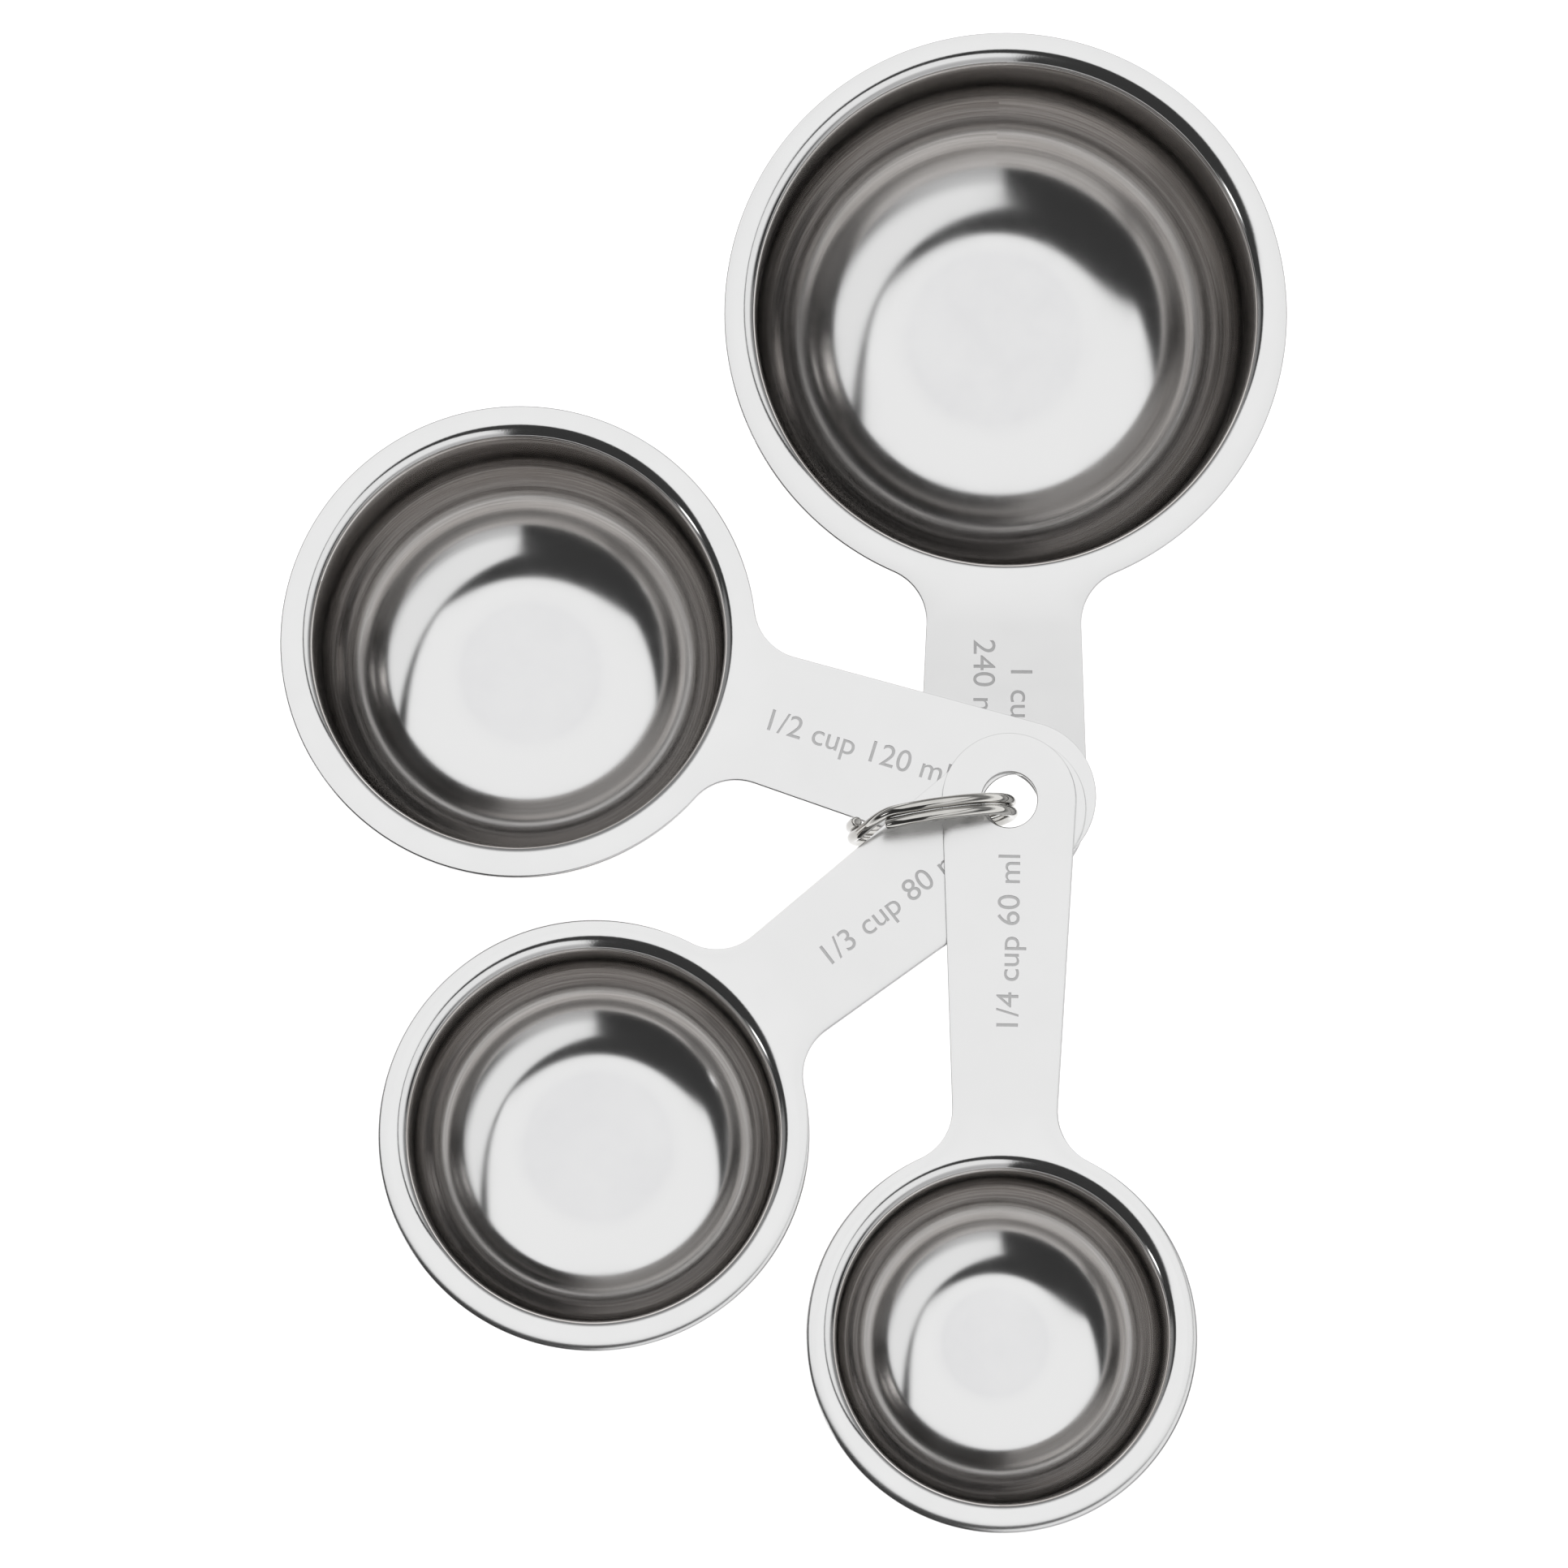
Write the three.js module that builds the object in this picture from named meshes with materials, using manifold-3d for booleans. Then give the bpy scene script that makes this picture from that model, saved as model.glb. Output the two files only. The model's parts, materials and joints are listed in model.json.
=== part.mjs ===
// A set of four steel measuring cups, fanned out on one split ring. Millimetres, +Z up.
// Each cup is two pressings: a flat handle plate with a turned-down collar, and a drawn bowl
// whose mouth sits inside that collar. The ring runs through the hole in every handle.
import * as THREE from "three";
import { mergeVertices } from "three/addons/utils/BufferGeometryUtils.js";
import Module from "manifold-3d";

const wasm = await Module();
wasm.setup();

// ---- driving dimensions (mm, mm3, degrees) ----
const PLATE_THICKNESS = 1.0;
const BOWL_THICKNESS = 0.6;
const LIP_RADIUS = 1.7; // the round between the flange's top and the collar
const COLLAR_DEPTH = 6.0; // flange top to collar's lower edge
const SEAM_DEPTH = 1.9; // flange top down to the bowl's upper edge
const FIT_GAP = 0.3; // bowl to collar, and plate to plate in the stack
const HOLE_RADIUS = 4.6; // the hole that the ring runs through
const NECK_FILLET = 9.0; // flange edge to handle edge
const NECK_REACH = 6.0; // where a handle's neck width is given, beyond the flange

const WIRE_RADIUS = 0.9;
const COIL_PITCH = 1.9; // centre to centre of the ring's two turns
const COIL_RADIUS = 13.4; // ring centre to wire centre
const CROSSING_START = 118; // where the wire starts to cross from one turn to the other
const CROSSING_END = 160;
const WIRE_START = 158; // the wire's first cut end, measured from the hole over the top
const WIRE_END = 720 + 126; // its last cut end, two turns later

const FLANGE_STEPS = 48; // chords in a full circle of flange, collar and bowl
const BOWL_CORNER_STEPS = 5;
const LIP_STEPS = 3;
const HOLE_STEPS = 20;
const WIRE_STEPS_PER_TURN = 28;
const WIRE_SIDES = 8;

// `hole` is a handle hole's centre in the fan, and `level` the height of its plate's top there.
// `heading` points from the hole to the cup's middle, and `drop` is how far the cup's end leans down.
const CUPS = [
  {
    name: "one_cup", capacity: 240e3, bowlRadius: 41.35, cornerRadius: 25.2, flangeRadius: 46.9,
    reach: 82.2, neckHalfWidth: 12.9, endRadius: 14.1,
    hole: [-0.7, -0.7], level: -7.2, heading: 89.81, drop: -6.0,
  },
  {
    name: "half_cup", capacity: 120e3, bowlRadius: 34.05, cornerRadius: 21.1, flangeRadius: 39.7,
    reach: 87.2, neckHalfWidth: 11.1, endRadius: 12.55,
    hole: [2.1, 1.1], level: -2.95, heading: 162.82, drop: 1.3,
  },
  {
    name: "third_cup", capacity: 80e3, bowlRadius: 30.25, cornerRadius: 16.8, flangeRadius: 35.5,
    reach: 87.8, neckHalfWidth: 9.95, endRadius: 11.75,
    hole: [1.0, -1.1], level: -1.3, heading: 218.2, drop: 0,
  },
  {
    name: "quarter_cup", capacity: 60e3, bowlRadius: 26.95, cornerRadius: 17.35, flangeRadius: 32.1,
    reach: 88.2, neckHalfWidth: 8.7, endRadius: 11.07,
    hole: [0, 0], level: 0, heading: 269.25, drop: 0,
  },
];
const RING = { centre: [-12.5, -3.05, -3.5], heading: 188.9, lean: 1.2 };
// The plates lie on each other, so the fan leans until every cup touches the worktop.
const FAN_TILT = { north: 7.0, east: 1.0 };

const STEEL = { metalness: 1, roughness: 0.3 };
const handleMaterial = new THREE.MeshStandardMaterial({ ...STEEL, color: 0xdcdcdc });
const bowlMaterial = new THREE.MeshStandardMaterial({ ...STEEL, color: 0xb5b2ae });
const ringMaterial = new THREE.MeshStandardMaterial({ metalness: 1, roughness: 0.15, color: 0x9a9894 });

// ---- helpers ----
const rad = THREE.MathUtils.degToRad;

function arc(x, y, radius, from, to, steps, clockwise = false) {
  return new THREE.EllipseCurve(x, y, radius, radius, from, to, clockwise).getPoints(steps);
}

function circle(x, y, radius, steps) {
  return arc(x, y, radius, 0, 2 * Math.PI, steps).slice(0, -1);
}

// Turns a closed (radius, height) outline about the Z axis.
function revolve(outline) {
  return new THREE.LatheGeometry(outline, FLANGE_STEPS).rotateX(Math.PI / 2);
}

function toSolid(geometry) {
  geometry.deleteAttribute("normal");
  geometry.deleteAttribute("uv");
  const merged = mergeVertices(geometry, 1e-4);
  return new wasm.Manifold(new wasm.Mesh({
    numProp: 3,
    vertProperties: new Float32Array(merged.attributes.position.array),
    triVerts: new Uint32Array(merged.index.array),
  }));
}

function toGeometry(solid) {
  const mesh = solid.getMesh();
  const geometry = new THREE.BufferGeometry();
  geometry.setAttribute("position", new THREE.BufferAttribute(mesh.vertProperties, mesh.numProp));
  geometry.setIndex(new THREE.BufferAttribute(mesh.triVerts, 1));
  geometry.computeVertexNormals();
  return geometry;
}

// ---- bowl ----
// The inner depth that holds the capacity, filled level with the flange's top.
function bowlDepth({ capacity, bowlRadius, cornerRadius }) {
  const flat = bowlRadius - cornerRadius;
  const cornerVolume = Math.PI * (flat ** 2 * cornerRadius
    + (Math.PI / 2) * flat * cornerRadius ** 2 + (2 / 3) * cornerRadius ** 3);
  return cornerRadius + (capacity - cornerVolume) / (Math.PI * bowlRadius ** 2);
}

// Centred on the bowl's axis, with Z = 0 at the flange's top.
function bowlGeometry(cup) {
  const flat = cup.bowlRadius - cup.cornerRadius;
  const depth = bowlDepth(cup);
  const corner = (radius, from, to) =>
    arc(flat, cup.cornerRadius - depth, radius, from, to, BOWL_CORNER_STEPS);
  const outline = [
    new THREE.Vector2(0, -depth - BOWL_THICKNESS),
    ...corner(cup.cornerRadius + BOWL_THICKNESS, -Math.PI / 2, 0),
    new THREE.Vector2(cup.bowlRadius + BOWL_THICKNESS, -SEAM_DEPTH),
    new THREE.Vector2(cup.bowlRadius, -SEAM_DEPTH),
    ...corner(cup.cornerRadius, -Math.PI / 2, 0).reverse(),
    new THREE.Vector2(0, -depth),
  ];
  return toGeometry(toSolid(revolve(outline)));
}

// ---- handle ----
// The handle's outline: a round flange at 0,0 and a tapered tongue along +X with a round end.
function handleOutline(cup) {
  const neckX = cup.flangeRadius + NECK_REACH;
  const rest = cup.reach - neckX;
  const slope = Math.asin(cup.endRadius / Math.hypot(rest, cup.neckHalfWidth))
    - Math.atan2(cup.neckHalfWidth, rest);
  const along = new THREE.Vector2(Math.cos(slope), Math.sin(slope));
  const outward = new THREE.Vector2(-along.y, along.x);
  // The fillet's centre is one fillet radius off the edge, and off the flange's circle.
  const start = new THREE.Vector2(neckX, cup.neckHalfWidth).addScaledVector(outward, NECK_FILLET);
  const back = start.dot(along);
  const apart = cup.flangeRadius + NECK_FILLET;
  const fillet = start.addScaledVector(along, Math.sqrt(back ** 2 - start.lengthSq() + apart ** 2) - back);
  const meets = fillet.angle();
  const edge = slope - Math.PI / 2;
  const end = slope + Math.PI / 2;
  return [
    ...arc(0, 0, cup.flangeRadius, meets, -meets, FLANGE_STEPS),
    ...arc(fillet.x, -fillet.y, NECK_FILLET, Math.PI - meets, -edge, 6, true).slice(1),
    ...arc(cup.reach, 0, cup.endRadius, -end, end, 16),
    ...arc(fillet.x, fillet.y, NECK_FILLET, edge, meets + Math.PI, 6, true).slice(0, -1),
  ];
}

// Centred on the bowl's axis, with Z = 0 at the flange's top and the hole on +X.
function handleGeometry(cup) {
  const collarInner = cup.bowlRadius + BOWL_THICKNESS + FIT_GAP;
  const collarOuter = collarInner + PLATE_THICKNESS;
  const lipCentre = collarInner + LIP_RADIUS;
  const overlap = 0.6;
  const plate = new THREE.Shape(handleOutline(cup));
  plate.holes.push(new THREE.Path(circle(0, 0, lipCentre + overlap / 2, FLANGE_STEPS)));
  plate.holes.push(new THREE.Path(circle(cup.reach, 0, HOLE_RADIUS, HOLE_STEPS)));
  const flat = new THREE.ExtrudeGeometry(plate, { depth: PLATE_THICKNESS, bevelEnabled: false });
  flat.translate(0, 0, -PLATE_THICKNESS);
  const underside = LIP_RADIUS - PLATE_THICKNESS;
  const collar = revolve([
    new THREE.Vector2(lipCentre + overlap, 0),
    ...arc(lipCentre, -LIP_RADIUS, LIP_RADIUS, Math.PI / 2, Math.PI, LIP_STEPS),
    new THREE.Vector2(collarInner, -COLLAR_DEPTH),
    new THREE.Vector2(collarOuter, -COLLAR_DEPTH),
    ...arc(lipCentre, -LIP_RADIUS, underside, Math.PI, Math.PI / 2, LIP_STEPS, true),
    new THREE.Vector2(lipCentre + overlap, -PLATE_THICKNESS),
    new THREE.Vector2(lipCentre + overlap, 0),
  ]);
  return toGeometry(toSolid(flat).add(toSolid(collar)));
}

// ---- cup ----
function makeCup(cup) {
  const handle = new THREE.Mesh(handleGeometry(cup), handleMaterial);
  handle.name = `${cup.name}_handle`;
  const bowl = new THREE.Mesh(bowlGeometry(cup), bowlMaterial);
  bowl.name = `${cup.name}_bowl`;
  // Local frame: the hole at 0,0 and the bowl out along +X, so the handle is turned round.
  const body = new THREE.Group();
  body.add(handle, bowl);
  body.position.x = cup.reach;
  body.rotation.z = Math.PI;
  const leaning = new THREE.Group();
  leaning.add(body);
  leaning.rotation.y = rad(cup.drop);
  const placed = new THREE.Group();
  placed.add(leaning);
  placed.position.set(...cup.hole, cup.level);
  placed.rotation.z = rad(cup.heading);
  return placed;
}

// ---- split ring ----
// Two turns of wire side by side, with one crossing between them and a cut end on each side of it.
class SplitRingCurve extends THREE.Curve {
  getPoint(t, target = new THREE.Vector3()) {
    const angle = THREE.MathUtils.lerp(WIRE_START, WIRE_END, t);
    const crossed = THREE.MathUtils.smoothstep(angle, CROSSING_START + 360, CROSSING_END + 360);
    return target.set(
      COIL_RADIUS * Math.cos(rad(angle)),
      COIL_RADIUS * Math.sin(rad(angle)),
      COIL_PITCH * (crossed - 0.5),
    );
  }
}

function makeSplitRing() {
  const turns = (WIRE_END - WIRE_START) / 360;
  const geometry = new THREE.ExtrudeGeometry(new THREE.Shape(circle(0, 0, WIRE_RADIUS, WIRE_SIDES)), {
    steps: Math.round(turns * WIRE_STEPS_PER_TURN),
    extrudePath: new SplitRingCurve(),
  });
  const ring = new THREE.Mesh(toGeometry(toSolid(geometry)), ringMaterial);
  ring.name = "split_ring";
  // Stood on edge: its 0 degrees at the hole, 90 degrees on top, its axis level.
  ring.rotation.x = Math.PI / 2;
  const leaning = new THREE.Group();
  leaning.add(ring);
  leaning.rotation.x = rad(-RING.lean);
  const placed = new THREE.Group();
  placed.add(leaning);
  placed.position.set(...RING.centre);
  placed.rotation.z = rad(RING.heading + 180);
  return placed;
}

// ---- the fan, stood on the worktop with its box's bottom centre at the origin ----
const fan = new THREE.Group();
fan.add(...CUPS.map(makeCup), makeSplitRing());
fan.rotation.set(rad(FAN_TILT.north), rad(-FAN_TILT.east), 0);

const group = new THREE.Group();
group.add(fan);
const box = new THREE.Box3().setFromObject(group, true);
const middle = box.getCenter(new THREE.Vector3());
fan.position.set(-middle.x, -middle.y, -box.min.z);

export default group;
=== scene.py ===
"""The looks of four steel measuring cups, fanned out on one split ring.

Every piece replaces the CAD node of its own name. A cup's pieces are made in the cup's own
frame: the origin on the bowl's axis at the flange's top, +X towards the handle's hole, +Z up.
"""

import json
import math

import bmesh
import bpy
import numpy as np
from mathutils import Matrix, Vector


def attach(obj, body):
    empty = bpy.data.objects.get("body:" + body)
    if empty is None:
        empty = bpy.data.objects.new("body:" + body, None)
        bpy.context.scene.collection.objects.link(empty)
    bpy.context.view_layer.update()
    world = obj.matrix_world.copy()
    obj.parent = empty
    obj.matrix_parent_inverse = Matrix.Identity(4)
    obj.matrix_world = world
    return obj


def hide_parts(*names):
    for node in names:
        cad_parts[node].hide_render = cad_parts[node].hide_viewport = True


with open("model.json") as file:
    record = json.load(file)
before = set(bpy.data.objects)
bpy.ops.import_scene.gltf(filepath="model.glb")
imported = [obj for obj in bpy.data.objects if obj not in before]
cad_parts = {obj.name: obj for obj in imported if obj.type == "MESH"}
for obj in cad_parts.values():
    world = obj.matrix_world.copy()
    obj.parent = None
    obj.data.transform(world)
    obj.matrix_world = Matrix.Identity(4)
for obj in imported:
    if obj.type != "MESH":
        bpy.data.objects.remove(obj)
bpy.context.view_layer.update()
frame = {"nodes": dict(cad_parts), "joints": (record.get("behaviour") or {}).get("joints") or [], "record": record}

MM = 0.001

# ---- driving dimensions (mm, mm3, degrees) ----
PLATE_THICKNESS = 1.0
BOWL_THICKNESS = 0.6
COLLAR_DEPTH = 6.0
SEAM_DEPTH = 1.9
FIT_GAP = 0.3
NECK_FILLET = 9.0
NECK_REACH = 6.0
TONGUE_BEYOND = 2 * NECK_FILLET  # further than this past the flange there is only tongue
WIRE_RADIUS = 0.9
COIL_PITCH = 1.9
COIL_RADIUS = 13.4
CROSSING_START = 118  # degrees round the coil, as are the next three
CROSSING_END = 160
WIRE_START = 158
WIRE_END = 720 + 126
RING_HEADING = 188.9  # degrees in the plates' plane, as is the next one
QUARTER_HEADING = 269.25

# ---- what only the looks need (mm, unless said) ----
LIP_WIDTH = 2.3  # the dished part of the lip, as seen from above
LIP_SLOPE = 38  # degrees, at the lip's nose
NOSE_RADIUS = 0.3
NOSE_TURN = 1.4 * math.pi  # radians, where the nose's arc ends inside the collar
FACET_SAG = 0.12  # round edges are drawn in by this, to stay inside the CAD's chords
EDGE_ROUND = 0.2  # a plate's small corners
SEAM_GAP = 0.05  # the bowl's edge off the collar
ENGRAVING_DEPTH = 0.14
MARK_HEIGHT = 3.8  # a digit's height
MARK_WIDTH = 1.03  # the lettering's width, as a share of the font's own
FONT_DIGIT = 0.729  # the built-in font's digit height, as a share of its size
CUTTER_HEIGHT = 0.4  # half the height of the solid that cuts a mark

# Each cup: its bowl's mouth and corner radii, the flange's radius, how far the hole is from the
# bowl's axis, half the tongue's width at the neck, the radii of its end and its hole, how wide
# and how deep the top edge is worn, and the marks (lettering, start along the handle, offset).
CUPS = {
    "one_cup": dict(
        capacity=240e3, bowl=41.35, corner=25.2, flange=46.9, reach=82.2,
        neck=12.9, end=14.1, hole=6.0, edge=(0.25, 0.25),
        marks=[("1 cup", 59.2, 3.1), ("240 ml", 54.2, -3.1)],
    ),
    "half_cup": dict(
        capacity=120e3, bowl=34.05, corner=21.1, flange=39.7, reach=87.2,
        neck=11.1, end=12.55, hole=6.0, edge=(0.4, 0.3),
        marks=[("1/2 cup 120 ml", 43.9, 0.0)],
    ),
    "third_cup": dict(
        capacity=80e3, bowl=30.25, corner=16.8, flange=35.5, reach=87.8,
        neck=9.95, end=11.75, hole=5.6, edge=(1.4, 0.45),
        marks=[("1/3 cup 80 ml", 48.1, 0.0)],
    ),
    "quarter_cup": dict(
        capacity=60e3, bowl=26.95, corner=17.35, flange=32.1, reach=88.2,
        neck=8.7, end=11.07, hole=4.6, edge=(1.6, 0.6),
        marks=[("1/4 cup 60 ml", 50.7, 0.0)],
    ),
}


# ---- frames ----
def bowl_depth(cup):
    """The inner depth that holds the capacity, filled level with the flange's top."""
    flat, corner = cup["bowl"] - cup["corner"], cup["corner"]
    corner_volume = math.pi * (
        flat ** 2 * corner + math.pi / 2 * flat * corner ** 2 + 2 / 3 * corner ** 3
    )
    return corner + (cup["capacity"] - corner_volume) / (math.pi * cup["bowl"] ** 2)


def axes_matrix(origin, x, z):
    """The frame with that origin in metres, +Z along z and +X as near to x as it can be."""
    z = z.normalized()
    x = (x - z * x.dot(z)).normalized()
    turned = Matrix((x, z.cross(x), z)).transposed().to_4x4()
    return Matrix.Translation(origin) @ turned


def cup_frame(name):
    """A cup's own frame, from the mount under its bowl and the far end of its handle's node."""
    mount = next(m for m in frame["record"]["mounts"] if m["name"] == f"{name}_base")
    z = -Vector(mount["axis"])
    height = (bowl_depth(CUPS[name]) + BOWL_THICKNESS) * MM
    origin = Vector(mount["pos_m"]) + z * height
    tongue = Vector()
    for vertex in frame["nodes"][f"{name}_handle"].data.vertices:
        if (vertex.co - origin).length > (CUPS[name]["flange"] + TONGUE_BEYOND) * MM:
            tongue += vertex.co - origin
    return axes_matrix(origin, tongue, z)


def ring_frame(quarter):
    """The ring's own frame: +X towards the holes, +Y up over the plates, +Z along its axis."""
    joint = next(j for j in frame["joints"] if j["name"] == "ring_turn")
    z = Vector(joint["axis"])
    toward = Matrix.Rotation(math.radians(RING_HEADING + 180), 4, "Z")
    fan = quarter.to_3x3().to_4x4() @ Matrix.Rotation(math.radians(180 - QUARTER_HEADING), 4, "Z")
    return axes_matrix(Vector(joint["pos_m"]), fan @ toward @ Vector((1, 0, 0)), z)


# ---- helpers (mm) ----
def smoothstep(x, low, high):
    """0 below low, 1 above high, and an even S between them."""
    t = min(1.0, max(0.0, (x - low) / (high - low)))
    return t * t * (3 - 2 * t)


def arc(x, y, radius, start, end, steps):
    """Points of an arc from one angle to another, both ends included, angles in radians."""
    turn = (end - start) / steps
    return [
        (x + radius * math.cos(start + i * turn), y + radius * math.sin(start + i * turn))
        for i in range(steps + 1)
    ]


def bridge(bm, lower, upper):
    """Quads between two closed loops of vertices, facing left of lower towards upper."""
    count = len(lower)
    return [
        bm.faces.new((lower[i], lower[(i + 1) % count], upper[(i + 1) % count], upper[i]))
        for i in range(count)
    ]


def lathe_loops(bm, profile, segments):
    """A loop of vertices for each (radius, height) of a profile, about the Z axis."""
    return [
        [
            bm.verts.new((
                radius * math.cos(2 * math.pi * i / segments),
                radius * math.sin(2 * math.pi * i / segments),
                height,
            ))
            for i in range(segments)
        ]
        for radius, height in profile
    ]


def fan_cap(bm, loop, height, flip):
    """Closes a loop round the Z axis with a fan of triangles."""
    middle = bm.verts.new((0, 0, height))
    for i, vertex in enumerate(loop):
        after = loop[(i + 1) % len(loop)]
        bm.faces.new((vertex, middle, after) if flip else (vertex, after, middle))


def loop_edges(bm, loop):
    """The edges along a closed loop of vertices."""
    return [bm.edges.get((v, loop[(i + 1) % len(loop)])) for i, v in enumerate(loop)]


LEVEL_FACING = 0.999995  # a normal's Z, from which a face counts as level
TINY_AREA = 1e-15  # keeps a corner of faces without area from having no normal


def set_normals(mesh, sharp=math.radians(40)):
    """Smooth normals, where a corner that touches a level face takes that face's own normal."""
    loops, faces = len(mesh.loops), len(mesh.polygons)
    vertex = np.zeros(loops, np.int64)
    sides = np.zeros(faces, np.int64)
    normal = np.zeros(faces * 3)
    area = np.zeros(faces)
    mesh.loops.foreach_get("vertex_index", vertex)
    mesh.polygons.foreach_get("loop_total", sides)
    mesh.polygons.foreach_get("normal", normal)
    mesh.polygons.foreach_get("area", area)
    normal = normal.reshape(-1, 3)
    flat = np.abs(normal[:, 2]) > LEVEL_FACING
    face = np.repeat(np.arange(faces), sides)
    # Every pair of face corners that meet at one vertex.
    count = np.bincount(vertex, minlength=len(mesh.vertices))
    first = np.cumsum(count) - count
    order = np.argsort(vertex, kind="stable")
    met = count[vertex]
    one = np.repeat(np.arange(loops), met)
    step = np.arange(len(one)) - np.repeat(np.cumsum(met) - met, met)
    other = face[order[first[vertex[one]] + step]]
    near = np.einsum("ij,ij->i", normal[face[one]], normal[other]) > math.cos(sharp)
    level = near & flat[other]
    by_level = np.bincount(one, weights=level, minlength=loops) > 0
    used = np.where(by_level[one], level, near) * (area[other] + TINY_AREA)
    corner = np.stack(
        [np.bincount(one, weights=used * normal[other, k], minlength=loops) for k in range(3)], 1
    )
    corner /= np.linalg.norm(corner, axis=1, keepdims=True)
    corner[flat[face]] = normal[face][flat[face]]
    mesh.polygons.foreach_set("use_smooth", np.ones(faces, bool))
    mesh.normals_split_custom_set(corner.tolist())


def make_mesh(bm, name, materials):
    """Turns a bmesh made in mm into an object in metres."""
    bmesh.ops.recalc_face_normals(bm, faces=bm.faces)
    for vertex in bm.verts:
        vertex.co *= MM
    mesh = bpy.data.meshes.new(name)
    bm.to_mesh(mesh)
    bm.free()
    for material in materials:
        mesh.materials.append(material)
    piece = bpy.data.objects.new(f"{name}_look", mesh)
    bpy.context.scene.collection.objects.link(piece)
    return piece


def settle(piece, place, node, body):
    """Puts a piece made at the origin in its place, where it stands for a CAD node.

    Its own coordinates stay in the attribute "own", which its material reads.
    """
    mesh = piece.data
    set_normals(mesh)
    own = mesh.attributes.new("own", "FLOAT_VECTOR", "POINT")
    places = np.zeros(len(mesh.vertices) * 3, np.float32)
    mesh.vertices.foreach_get("co", places)
    own.data.foreach_set("vector", places)
    mesh.transform(place)
    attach(piece, body)
    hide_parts(node)


# ---- handle plate ----
FLANGE_STEPS = 160
FILLET_STEPS = 16
TIP_STEPS = 48
HOLE_STEPS = 64
EDGE_STEPS = 6
COLLAR_SEGMENTS = 192
LIP_STEPS = 14
NOSE_STEPS = 8
RIM_STEPS = 8
SHOULDER_STEPS = 6
LIP_MARGIN = 0.01  # so that the lip's outermost points count as lip
WEAR_FLOOR = -0.6  # the edge's wear changes only what lies above this height
TONGUE_WEAR_LOST = 0.7  # the share of the wear that is missing on the tongue
WEAR_STARTS = 0.6  # where the wear starts to fade, as a share of the flange's radius
COLLAR_TURN = 2.1  # how far down the plate's underside has turned into the collar
COLLAR_MIDDLE = 4.0  # how far down, as is the next one
COLLAR_SHOULDER = 2.6
SHOULDER_RADIUS = 0.8


def outline(cup, inset):
    """The plate's outline, a round flange and a tapered tongue with a round end, drawn in by inset."""
    neck_x = cup["flange"] + NECK_REACH
    rest = cup["reach"] - neck_x
    slope = math.asin(cup["end"] / math.hypot(rest, cup["neck"])) - math.atan2(cup["neck"], rest)
    along = Vector((math.cos(slope), math.sin(slope)))
    outward = Vector((-along.y, along.x))
    start = Vector((neck_x, cup["neck"])) + outward * NECK_FILLET
    back = start.dot(along)
    radius = cup["flange"] - FACET_SAG
    apart = radius + NECK_FILLET
    fillet = start + along * (math.sqrt(back ** 2 - start.length_squared + apart ** 2) - back)
    meets = math.atan2(fillet.y, fillet.x)
    edge = slope - math.pi / 2
    end = slope + math.pi / 2
    hollow = NECK_FILLET + inset
    flange = arc(0, 0, radius - inset, meets, 2 * math.pi - meets, FLANGE_STEPS)
    right = arc(fillet.x, -fillet.y, hollow, math.pi - meets, -edge, FILLET_STEPS)
    tip = arc(cup["reach"], 0, cup["end"] - inset, -end, end, TIP_STEPS)
    left = arc(fillet.x, fillet.y, hollow, edge, meets - math.pi, FILLET_STEPS)
    return flange + right[1:] + tip + left[:-1]


def rounded_edge(width, fall):
    """(inset, height) of each loop down a plate's edge: a top corner worn round, then a small one."""
    quarter = [math.pi / 2 * i / EDGE_STEPS for i in range(EDGE_STEPS + 1)]
    upper = [(width - width * math.sin(t), fall * math.cos(t) - fall) for t in quarter]
    lower = [
        (
            EDGE_ROUND - EDGE_ROUND * math.cos(t),
            EDGE_ROUND - PLATE_THICKNESS - EDGE_ROUND * math.sin(t),
        )
        for t in quarter
    ]
    return upper + lower


def worn_height(cup, x, height):
    """The height of a point of the plate's edge: the flange's edge is worn more than the tongue's."""
    if height < WEAR_FLOOR:
        return height
    lost = TONGUE_WEAR_LOST * smoothstep(x, WEAR_STARTS * cup["flange"], cup["flange"])
    return height * (1 - lost)


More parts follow.
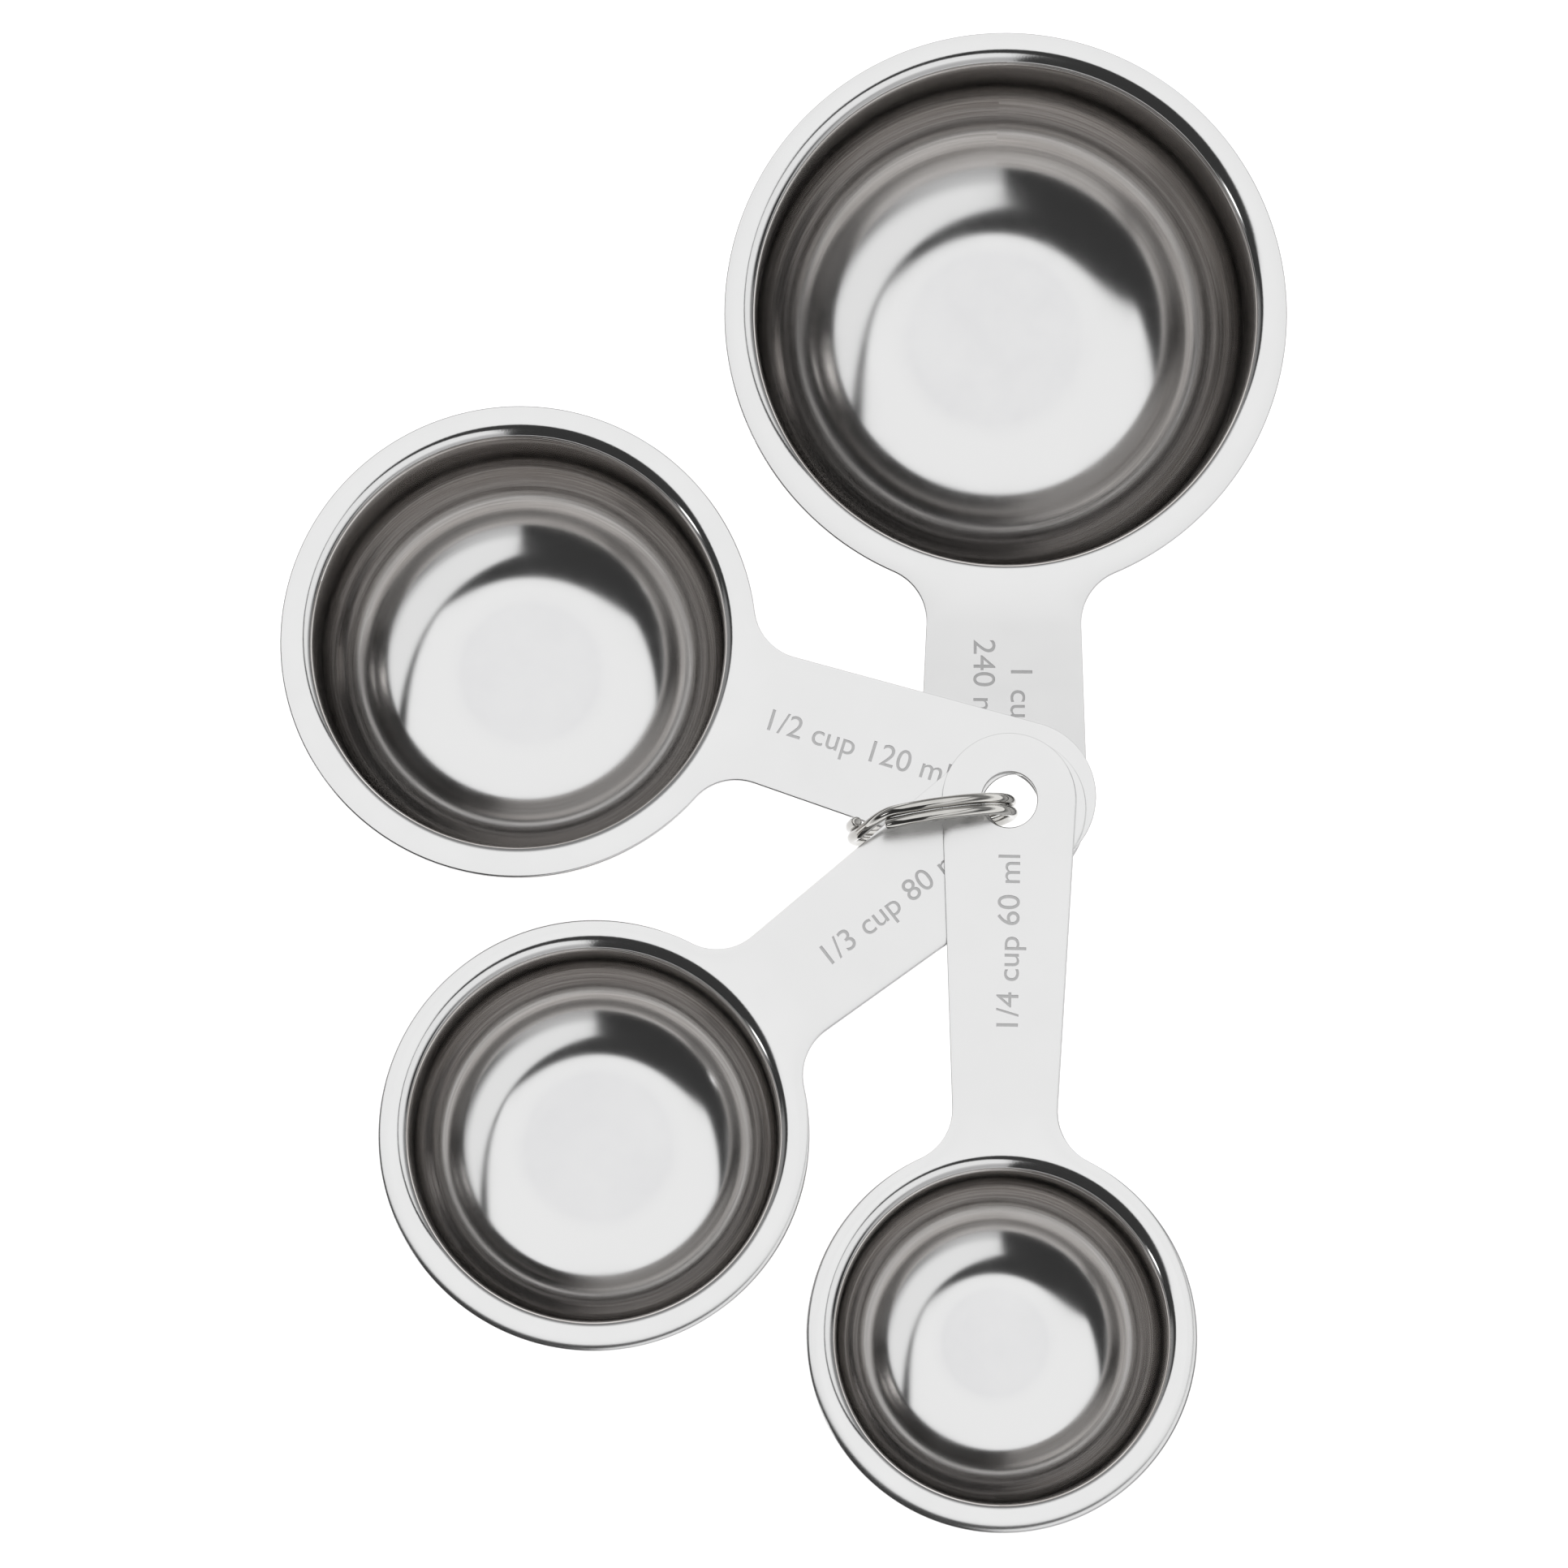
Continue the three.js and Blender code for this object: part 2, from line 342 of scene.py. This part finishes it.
def make_handle(name, cup, place, materials):
    """One plate: the flange with its lip and collar, the tongue with its hole and marks."""
    bm = bmesh.new()
    edge_loops = []
    for inset, height in rounded_edge(*cup["edge"]):
        edge_loops.append([
            bm.verts.new((x, y, worn_height(cup, x, height))) for x, y in outline(cup, inset)
        ])
    hole_loops = []
    for inset, height in rounded_edge(EDGE_ROUND, EDGE_ROUND):
        circle = arc(cup["reach"], 0, cup["hole"] + inset, 0, 2 * math.pi, HOLE_STEPS)[:-1]
        hole_loops.append([bm.verts.new((x, y, height)) for x, y in circle])
    inner = cup["bowl"] + BOWL_THICKNESS + FIT_GAP
    outer = inner + PLATE_THICKNESS
    half = PLATE_THICKNESS / 2
    # The lip dishes down gently, rolls over a small nose, and turns back to the collar.
    steep = math.radians(LIP_SLOPE)
    dish = LIP_WIDTH / math.sin(steep)
    foot = inner - NOSE_RADIUS * math.sin(steep) + LIP_WIDTH
    sunk = dish * (1 - math.cos(steep)) + NOSE_RADIUS * math.cos(steep)
    collar = (
        arc(foot, -dish, dish, math.pi / 2, math.pi / 2 + steep, LIP_STEPS)
        + arc(inner, -sunk, NOSE_RADIUS, math.pi / 2 + steep, NOSE_TURN, NOSE_STEPS)[1:]
        + [(inner, -COLLAR_TURN), (inner, -COLLAR_MIDDLE), (inner, -COLLAR_DEPTH + half)]
        + arc(inner + half, -COLLAR_DEPTH + half, half, math.pi, 2 * math.pi, RIM_STEPS)[1:]
        + [(outer, -COLLAR_MIDDLE), (outer, -COLLAR_SHOULDER)]
        + arc(
            outer + SHOULDER_RADIUS, -COLLAR_TURN, SHOULDER_RADIUS,
            math.pi, math.pi / 2, SHOULDER_STEPS,
        )
        + [(foot, -PLATE_THICKNESS)]
    )
    collar_loops = lathe_loops(bm, collar, COLLAR_SEGMENTS)
    surfaces = (edge_loops, hole_loops, collar_loops)
    for loops in surfaces:
        for lower, upper in zip(loops, loops[1:]):
            bridge(bm, lower, upper)
    for end in (0, -1):
        edges = [edge for loops in surfaces for edge in loop_edges(bm, loops[end])]
        bmesh.ops.triangle_fill(bm, edges=edges, use_beauty=True, use_dissolve=False)
    piece = make_mesh(bm, f"{name}_handle", materials)
    engrave(piece, cup)
    # 1 on the lip and the collar, 0 on the rest of the plate.
    zone = piece.data.attributes.new("zone", "FLOAT", "POINT")
    for vertex, value in zip(piece.data.vertices, zone.data):
        value.value = float(math.hypot(vertex.co.x, vertex.co.y) < (foot + LIP_MARGIN) * MM)
    settle(piece, place, f"{name}_handle", name)


def evaluated_mesh(piece):
    """A new mesh of what an object looks like with its modifiers."""
    bpy.context.view_layer.update()
    return bpy.data.meshes.new_from_object(
        piece.evaluated_get(bpy.context.evaluated_depsgraph_get())
    )


def engrave(piece, cup):
    """Cuts the capacity marks into the top of the plate, read from the cup towards the hole."""
    cutters = []
    for text, start, offset in cup["marks"]:
        curve = bpy.data.curves.new("mark", "FONT")
        curve.body = text
        curve.extrude = 0.5  # the letters are one unit thick
        curve.resolution_u = 6
        letters = bpy.data.objects.new("mark", curve)
        bpy.context.scene.collection.objects.link(letters)
        mesh = evaluated_mesh(letters)
        bpy.data.objects.remove(letters)
        bpy.data.curves.remove(curve)
        scale = MARK_HEIGHT / FONT_DIGIT
        left = min(v.co.x for v in mesh.vertices)
        for v in mesh.vertices:
            v.co = Vector((
                start + (v.co.x - left) * scale * MARK_WIDTH,
                offset + v.co.y * scale - MARK_HEIGHT / 2,
                v.co.z * 2 * CUTTER_HEIGHT - ENGRAVING_DEPTH + CUTTER_HEIGHT,
            )) * MM
        cutters.append(mesh)
    for mesh in cutters:
        mesh.materials.append(piece.data.materials[1])
        cutter = bpy.data.objects.new("cutter", mesh)
        bpy.context.scene.collection.objects.link(cutter)
        cut = piece.modifiers.new("engraving", "BOOLEAN")
        cut.operation = "DIFFERENCE"
        cut.solver = "EXACT"
        cut.material_mode = "TRANSFER"
        cut.use_self = True
        cut.object = cutter
        result = evaluated_mesh(piece)
        piece.modifiers.clear()
        old = piece.data
        piece.data = result
        result.name = old.name
        bpy.data.meshes.remove(old)
        bpy.data.objects.remove(cutter)
        bpy.data.meshes.remove(mesh)


# ---- bowl ----
BOWL_SEGMENTS = 192
WALL_STEPS = 10
CORNER_STEPS = 48
OUTER_CORNER_STEPS = 30
MOUTH_STEPS = 6
FLAT_RINGS = (0.25, 0.5, 0.75)  # as shares of the flat's radius
MOUTH_DROP = 0.3  # the mouth's arc starts this far under the seam
SPRING_DEPTH = 5.0  # over this depth the mouth is sprung out to the collar
CORNER_EASE = 0.7  # the flat runs into the corner over this width, in two steps
CORNER_RISE = 0.012
BASE_LIFT = 0.03  # with FACET_SAG, how much higher the base is than the CAD's


def make_bowl(name, cup, place, materials):
    """One bowl, its mouth sprung out to the collar and its base flat."""
    bm = bmesh.new()
    flat, corner, depth = cup["bowl"] - cup["corner"], cup["corner"], bowl_depth(cup)
    top = -SEAM_DEPTH
    low = corner - depth
    wall = [low + (top - MOUTH_DROP - low) * i / WALL_STEPS for i in range(1, WALL_STEPS + 1)]
    outer_radius = cup["bowl"] + BOWL_THICKNESS
    base = BOWL_THICKNESS - FACET_SAG - BASE_LIFT
    spread = FIT_GAP - SEAM_GAP

    def sprung(z):
        """How far out the wall is pushed at a height."""
        return spread * max(0.0, 1 - (top - z) / SPRING_DEPTH) ** 2

    outer = (
        [(flat * share, -depth - base) for share in FLAT_RINGS]
        + [
            (flat + (x - flat) * (corner + BOWL_THICKNESS) / (corner + base), z)
            for x, z in arc(flat, low, corner + base, -math.pi / 2, 0, OUTER_CORNER_STEPS)
        ]
        + [(outer_radius + sprung(z), z) for z in wall]
    )
    rim = BOWL_THICKNESS / 2
    mouth = arc(cup["bowl"] + spread + rim, top - MOUTH_DROP, rim, 0, math.pi, MOUTH_STEPS)
    inner = (
        [(flat * share, -depth) for share in FLAT_RINGS]
        + [(flat - CORNER_EASE, -depth), (flat - CORNER_EASE / 2, -depth + CORNER_RISE)]
        + arc(flat, low, corner, -math.pi / 2, 0, CORNER_STEPS)
        + [(cup["bowl"] + sprung(z), z) for z in wall]
    )
    profile = outer + mouth[1:-1] + inner[::-1]
    loops = lathe_loops(bm, profile, BOWL_SEGMENTS)
    for lower, upper in zip(loops, loops[1:]):
        bridge(bm, lower, upper)
    fan_cap(bm, loops[0], -depth - base, True)
    fan_cap(bm, loops[-1], -depth, False)
    piece = make_mesh(bm, f"{name}_bowl", materials)
    # 0 to 1 over the flat, to 2 up the corner, and to 3 up the wall.
    zone = piece.data.attributes.new("zone", "FLOAT", "POINT")
    for vertex, value in zip(piece.data.vertices, zone.data):
        x, y, z = vertex.co / MM
        out = math.hypot(x, y)
        if z > low:
            value.value = 2 + (z - low) / (top - low)
        elif out > flat:
            value.value = 1 + math.atan2(out - flat, low - z) / (math.pi / 2)
        else:
            value.value = out / flat
    settle(piece, place, f"{name}_bowl", name)


# ---- split ring ----
RING_STEPS = 420
RING_SIDES = 24
RING_END_ROUND = 0.35
RING_END_STEPS = 4
DIRECTION_SPAN = 0.5  # degrees each way, to find which way the wire runs


def wire_point(angle):
    """The wire's centre at an angle in degrees, one turn lying on the other past the crossing."""
    crossed = smoothstep(angle, CROSSING_START + 360, CROSSING_END + 360)
    t = math.radians(angle)
    return Vector((
        COIL_RADIUS * math.cos(t), COIL_RADIUS * math.sin(t), COIL_PITCH * (crossed - 0.5),
    ))


def ring_stations():
    """(angle in degrees, wire radius) of each cross-section, the two ends rounded off."""
    end_angle = math.degrees(RING_END_ROUND / COIL_RADIUS)
    start = []
    for i in range(RING_END_STEPS + 1):
        turn = math.pi / 2 * i / RING_END_STEPS
        start.append((
            WIRE_START + end_angle * (1 - math.cos(turn)),
            WIRE_RADIUS - RING_END_ROUND + RING_END_ROUND * math.sin(turn),
        ))
    first, last = WIRE_START + end_angle, WIRE_END - end_angle
    body = [
        (first + (last - first) * i / RING_STEPS, WIRE_RADIUS) for i in range(1, RING_STEPS)
    ]
    end = [(WIRE_START + WIRE_END - angle, radius) for angle, radius in reversed(start)]
    return start + body + end


def make_ring(place, materials):
    """Two turns of round wire."""
    bm = bmesh.new()
    around = [2 * math.pi * k / RING_SIDES for k in range(RING_SIDES)]
    loops = []
    for angle, radius in ring_stations():
        here = wire_point(angle)
        ahead = wire_point(angle + DIRECTION_SPAN) - wire_point(angle - DIRECTION_SPAN)
        ahead.normalize()
        out = Vector((here.x, here.y, 0)).normalized()
        out = (out - ahead * out.dot(ahead)).normalized()
        side = ahead.cross(out)
        loops.append([
            bm.verts.new(here + radius * (out * math.cos(t) + side * math.sin(t))) for t in around
        ])
    for lower, upper in zip(loops, loops[1:]):
        bridge(bm, lower, upper)
    bm.faces.new(loops[0])
    bm.faces.new(loops[-1])
    piece = make_mesh(bm, "split_ring", materials)
    settle(piece, place, "split_ring", "split_ring")


# ---- materials ----
PLATE_GREYS = ((0.64, 0.64, 0.64), (0.69, 0.69, 0.69))
MARK_GREYS = ((0.42, 0.42, 0.42), (0.54, 0.54, 0.54))
POLISHED_GREYS = ((0.66, 0.66, 0.66), (0.60, 0.60, 0.61))
# The wall's streaked brown: partly the steel's own tone, partly painted shade that darkens the wall.
SHADED_WALL_BROWNS = ((0.39, 0.364, 0.345), (0.67, 0.65, 0.635))
WALL_GLANCE = (0.56, 0.55, 0.54, 1.0)
NICKEL_GREYS = ((0.44, 0.43, 0.41), (0.56, 0.55, 0.53))
PAPER_WHITE = (0.88, 0.88, 0.88, 1.0)
STREAK_TURN = 0.0006  # metres along the streaks' pattern for each radian round the bowl
STREAK_RISE = 0.8  # metres across it for each metre up the wall
SMEAR_SPAN = dict(start=0.3, end=0.7)  # what most of the smears' noise lies between
PLATE_ROUGHNESS = (0.18, 0.22)
LIP_POLISH = 0.1  # taken off the roughness on the lip
MARK_ROUGHNESS = (0.38, 0.5)
BOWL_ROUGHNESS = (0.1, 0.16)
WALL_ROUGHNESS = 0.05  # added on the wall
RING_ROUGHNESS = (0.07, 0.12)
FLAT_FADE = dict(start=0.9, end=1.05)  # a bowl's zones, where the flat's look goes over
WALL_FADE = dict(start=1.35, end=1.75)  # a bowl's zones, where the wall's look comes in
WALL_UNEVEN = 0.5  # how many zones the bands shift that by
STREAK_SPAN = dict(start=0.38, end=0.62)


class Nodes:
    """A node tree, with short calls to add and link nodes."""

    def __init__(self, owner, shader="Principled BSDF"):
        owner.use_nodes = True
        self.material = owner
        self.tree = owner.node_tree
        self.shader = self.tree.nodes[shader]

    def add(self, kind, settings=None, **inputs):
        """A new node, with its properties and its inputs set."""
        node = self.tree.nodes.new(kind)
        for key, value in (settings or {}).items():
            setattr(node, key, value)
        for key, value in inputs.items():
            self.put(node, key.replace("_", " "), value)
        return node

    def put(self, node, socket, value):
        """Links a socket to an input, or sets the input's own value."""
        if isinstance(value, bpy.types.NodeSocket):
            self.tree.links.new(value, node.inputs[socket])
        else:
            node.inputs[socket].default_value = value

    def own(self):
        """The piece's own coordinates in metres."""
        return self.add("ShaderNodeAttribute", {"attribute_name": "own"}).outputs["Vector"]

    def zone(self):
        """The number that says which part of the piece this is."""
        return self.add("ShaderNodeAttribute", {"attribute_name": "zone"}).outputs["Fac"]

    def noise(self, vector, scale, detail=3.0, roughness=0.5):
        """Noise from 0 to 1, with scale waves to the metre."""
        return self.add(
            "ShaderNodeTexNoise", Vector=vector, Scale=scale, Detail=detail, Roughness=roughness,
        ).outputs["Fac"]

    def between(self, value, low, high, start=0.0, end=1.0, smooth=False):
        """low where value is start or less, high where it is end or more, even between."""
        node = self.add(
            "ShaderNodeMapRange", {"interpolation_type": "SMOOTHSTEP" if smooth else "LINEAR"},
            Value=value, From_Min=start, From_Max=end, To_Min=low, To_Max=high,
        )
        return node.outputs["Result"]

    def math(self, operation, a, b=0.0):
        """One sum with two values, each a number or a socket."""
        node = self.add("ShaderNodeMath", {"operation": operation})
        self.put(node, 0, a)
        self.put(node, 1, b)
        return node.outputs["Value"]

    def tint(self, factor, low, high):
        """A colour between two others, each three numbers or a socket."""
        node = self.add("ShaderNodeMix", {"data_type": "RGBA"})
        self.put(node, "Factor", factor)
        for socket, color in ((6, low), (7, high)):
            self.put(node, socket, (*color, 1) if isinstance(color, tuple) else color)
        return node.outputs[2]

    def bump(self, height, strength, distance, normal=None):
        """A bumpy normal, on top of another one if that is given, with distance in metres."""
        node = self.add("ShaderNodeBump", Height=height, Strength=strength, Distance=distance)
        if normal is not None:
            self.put(node, "Normal", normal)
        return node.outputs["Normal"]

    def polar(self):
        """(angle round Z in radians, distance from Z in metres, height in metres)."""
        axes = self.add("ShaderNodeSeparateXYZ", Vector=self.own())
        x, y, z = axes.outputs
        angle = self.math("ARCTAN2", y, x)
        squares = self.math("ADD", self.math("MULTIPLY", x, x), self.math("MULTIPLY", y, y))
        return angle, self.math("SQRT", squares), z


def handle_steel():
    """Satin plate: a fine even grain, faint smears, and the slight waviness of pressed sheet."""
    n = Nodes(bpy.data.materials.new("handle_steel"))
    grain = n.noise(n.own(), 2600, detail=2)
    smear = n.noise(n.own(), 90, detail=4, roughness=0.6)
    wave = n.noise(n.own(), 60, detail=2)
    n.put(n.shader, "Base Color", n.tint(smear, *PLATE_GREYS))
    n.put(n.shader, "Metallic", 1.0)
    satin = n.between(smear, *PLATE_ROUGHNESS, **SMEAR_SPAN)
    smoother_lip = n.math("MULTIPLY", n.zone(), LIP_POLISH)
    n.put(n.shader, "Roughness", n.math("SUBTRACT", satin, smoother_lip))
    normal = n.bump(wave, strength=0.15, distance=0.0003)
    n.put(n.shader, "Normal", n.bump(grain, strength=0.06, distance=0.00004, normal=normal))
    return n.material


def engraved_steel():
    """The floor of the engraved marks: duller and greyer than the plate."""
    n = Nodes(bpy.data.materials.new("engraved_steel"))
    grain = n.noise(n.own(), 4000)
    n.put(n.shader, "Base Color", n.tint(grain, *MARK_GREYS))
    n.put(n.shader, "Metallic", 1.0)
    n.put(n.shader, "Roughness", n.between(grain, *MARK_ROUGHNESS))
    n.put(n.shader, "Normal", n.bump(grain, strength=0.3, distance=0.00004))
    return n.material


def bowl_steel():
    """Drawn steel, polished while it turned: bright at the bottom, more brown and duller up the wall, where the
    colour is also darkened as painted shade.
    """
    n = Nodes(bpy.data.materials.new("bowl_steel"))
    zone = n.zone()
    angle, radius, height = n.polar()
    streaks_at = n.add(
        "ShaderNodeCombineXYZ",
        X=n.math("MULTIPLY", angle, STREAK_TURN),
        Y=n.math("ADD", radius, n.math("MULTIPLY", height, STREAK_RISE)),
    ).outputs["Vector"]
    lines = n.noise(streaks_at, 2500)
    streaks = n.noise(streaks_at, 1300, detail=4, roughness=0.7)
    bands = n.noise(streaks_at, 350, roughness=0.6)
    smear = n.noise(n.own(), 70, detail=4, roughness=0.6)
    # The polished bottom gives way to the wall a little higher in one band than in the next.
    uneven = n.math("MULTIPLY", n.math("SUBTRACT", bands, 0.5), WALL_UNEVEN)
    wall = n.between(n.math("ADD", zone, uneven), 0.0, 1.0, **WALL_FADE)
    flat = n.between(zone, 1.0, 0.0, **FLAT_FADE)
    polished = n.tint(n.math("MULTIPLY", flat, smear), *POLISHED_GREYS)
    # The wall's brown is partly the steel's own streaked tone and partly painted shade, darker than the polished
    # bottom.
    shaded_browner = n.tint(n.between(streaks, 0.0, 1.0, **STREAK_SPAN), *SHADED_WALL_BROWNS)
    n.put(n.shader, "Base Color", n.tint(wall, polished, shaded_browner))
    n.put(n.shader, "Metallic", 1.0)
    n.put(n.shader, "Specular Tint", WALL_GLANCE)
    polish = n.between(smear, *BOWL_ROUGHNESS, **SMEAR_SPAN)
    n.put(n.shader, "Roughness", n.math("ADD", polish, n.math("MULTIPLY", wall, WALL_ROUGHNESS)))
    normal = n.bump(bands, strength=0.025, distance=0.0001)
    n.put(n.shader, "Normal", n.bump(lines, strength=0.015, distance=0.00002, normal=normal))
    return n.material


def ring_nickel():
    """Bright nickel-plated wire with a little wear."""
    n = Nodes(bpy.data.materials.new("ring_nickel"))
    wear = n.noise(n.own(), 400, detail=4, roughness=0.6)
    n.put(n.shader, "Base Color", n.tint(wear, *NICKEL_GREYS))
    n.put(n.shader, "Metallic", 1.0)
    n.put(n.shader, "Roughness", n.between(wear, *RING_ROUGHNESS))
    n.put(n.shader, "Normal", n.bump(wear, strength=0.1, distance=0.00004))
    return n.material


# ---- the pieces ----
handle_materials = [handle_steel(), engraved_steel()]
bowl_materials = [bowl_steel()]
places = {name: cup_frame(name) for name in CUPS}
for name, cup in CUPS.items():
    make_handle(name, cup, places[name], handle_materials)
    make_bowl(name, cup, places[name], bowl_materials)
make_ring(ring_frame(places["quarter_cup"]), [ring_nickel()])

# ---- floor, light and camera (metres) ----
FLOOR_MIDDLE = 0.5  # the radius of the middle, which is a fan of triangles
FLOOR_RADIUS = 6.0
FLOOR_SEGMENTS = 64
MAIN_LIGHT = 1.22
FILL_LIGHT = 1.12
NORTH_LIGHT = 0.3
SOUTH_LIGHT = 0.6
HORIZON_LIGHT = 0.9
DARK_LIGHT = 0.05
LAMP_LIGHT = 3.5
LAMP_AZIMUTH = 208  # degrees from +X
LAMP_HEIGHT = 21  # degrees over the horizon
LAMP_FADE = (5, 3)  # degrees off the lamp's middle, where its light starts and where it is full
OVERHEAD = (0.38, 0.62)  # a direction's Z, where the overhead diffusers start and are full
HORIZON_BAND = (0.05, 0.17)  # a direction's Z, where the band's light is full and where it ends

# A light's straight edges, each (a, b, c, soft): lit where a u + b v + c is above 0. The points
# (u, v) are explained in make_world.
MAIN_EDGES = ((0, 1, 0.31, 0.05), (1, 0.81, 1.10, 0.08), (-1.38, 1, 0.82, 0.05))
FILL_EDGES = ((1.1, -1, -0.78, 0.05), (1, 0, 0.03, 0.04))
NORTH_EDGES = ((0, 1, 0.3, 0.2),)
SOUTH_EDGES = ((0, -1, -1.6, 0.4), (1, 0, 0.03, 0.04))


def make_floor():
    """A round white worktop that glows a little, so that it stays white under the pieces."""
    bm = bmesh.new()
    loops = lathe_loops(bm, [(FLOOR_MIDDLE, 0), (FLOOR_RADIUS, 0)], FLOOR_SEGMENTS)
    bridge(bm, loops[0], loops[1])
    fan_cap(bm, loops[0], 0, False)
    mesh = bpy.data.meshes.new("floor")
    bmesh.ops.recalc_face_normals(bm, faces=bm.faces)
    bm.to_mesh(mesh)
    bm.free()
    floor = bpy.data.objects.new("floor", mesh)
    bpy.context.scene.collection.objects.link(floor)
    n = Nodes(bpy.data.materials.new("floor_paper"))
    n.put(n.shader, "Base Color", PAPER_WHITE)
    n.put(n.shader, "Roughness", 0.9)
    n.put(n.shader, "Emission Color", (1, 1, 1, 1))
    n.put(n.shader, "Emission Strength", 0.7)
    mesh.materials.append(n.material)


def make_world():
    """A big diffuser overhead to the north, a second one to the south-east, dark to the south-west.

    Lower down there are a faint light to the north, one to the south-east, a bright band along
    the horizon, and a small lamp in the west.

    Each direction upwards is worked on as the point (u, v) where it meets a level plane one unit
    up, so that a diffuser's straight edge is a straight line.
    """
    n = Nodes(bpy.data.worlds.new("studio"), "Background")
    direction = n.add("ShaderNodeTexCoord").outputs["Generated"]
    x, y, z = n.add("ShaderNodeSeparateXYZ", Vector=direction).outputs
    up = n.math("MAXIMUM", z, 0.02)
    u = n.math("DIVIDE", x, up)
    v = n.math("DIVIDE", y, up)

    def side(a, b, c, soft):
        """1 where a u + b v + c is above 0, easing to 0 below it, over soft on both sides."""
        size = math.hypot(a, b)
        across = n.math("ADD", n.math("MULTIPLY", u, a / size), n.math("MULTIPLY", v, b / size))
        total = n.math("ADD", across, c / size)
        return n.between(total, 0.0, 1.0, -soft, soft, smooth=True)

    def above(start, end):
        """0 below the height start, easing to 1 above the height end."""
        return n.between(z, 0.0, 1.0, start, end, smooth=True)

    overhead = above(*OVERHEAD)
    lower = n.math("SUBTRACT", 1.0, overhead)
    light = 0.0
    for strength, edges, height in (
        (MAIN_LIGHT, MAIN_EDGES, overhead),
        (FILL_LIGHT, FILL_EDGES, overhead),
        (NORTH_LIGHT, NORTH_EDGES, lower),
        (SOUTH_LIGHT, SOUTH_EDGES, lower),
    ):
        shape = height
        for edge in edges:
            shape = n.math("MULTIPLY", shape, side(*edge))
        light = n.math("ADD", light, n.math("MULTIPLY", shape, strength))
    horizon = n.math("SUBTRACT", 1.0, above(*HORIZON_BAND))
    light = n.math("MAXIMUM", light, n.math("MULTIPLY", horizon, HORIZON_LIGHT))
    azimuth, height = math.radians(LAMP_AZIMUTH), math.radians(LAMP_HEIGHT)
    lamp_at = (
        math.cos(height) * math.cos(azimuth), math.cos(height) * math.sin(azimuth), math.sin(height),
    )
    facing = n.add("ShaderNodeVectorMath", {"operation": "DOT_PRODUCT"})
    n.put(facing, 0, direction)
    n.put(facing, 1, lamp_at)
    dark_at, full_at = (math.cos(math.radians(angle)) for angle in LAMP_FADE)
    lamp = n.between(facing.outputs["Value"], 0.0, LAMP_LIGHT, dark_at, full_at)
    light = n.math("ADD", light, lamp)
    light = n.math("MAXIMUM", light, DARK_LIGHT)
    n.put(n.shader, "Strength", light)
    n.put(n.shader, "Color", (1, 1, 1, 1))
    bpy.context.scene.world = n.material


def make_camera():
    """Nearly overhead, turned so that north is up in the picture."""
    data = bpy.data.cameras.new("camera")
    data.sensor_width = 36
    data.lens = 149.0
    data.clip_start, data.clip_end = 0.05, 50
    camera = bpy.data.objects.new("camera", data)
    bpy.context.scene.collection.objects.link(camera)
    eye = Vector((-0.0252, -0.2565, 1.0805))
    target = Vector((0.0002, -0.0009, 0.040))
    back = (eye - target).normalized()
    camera.matrix_world = axes_matrix(eye, Vector((0, 1, 0)).cross(back), back)
    bpy.context.scene.camera = camera


make_floor()
make_world()
make_camera()
bpy.context.scene.view_settings.view_transform = "Standard"
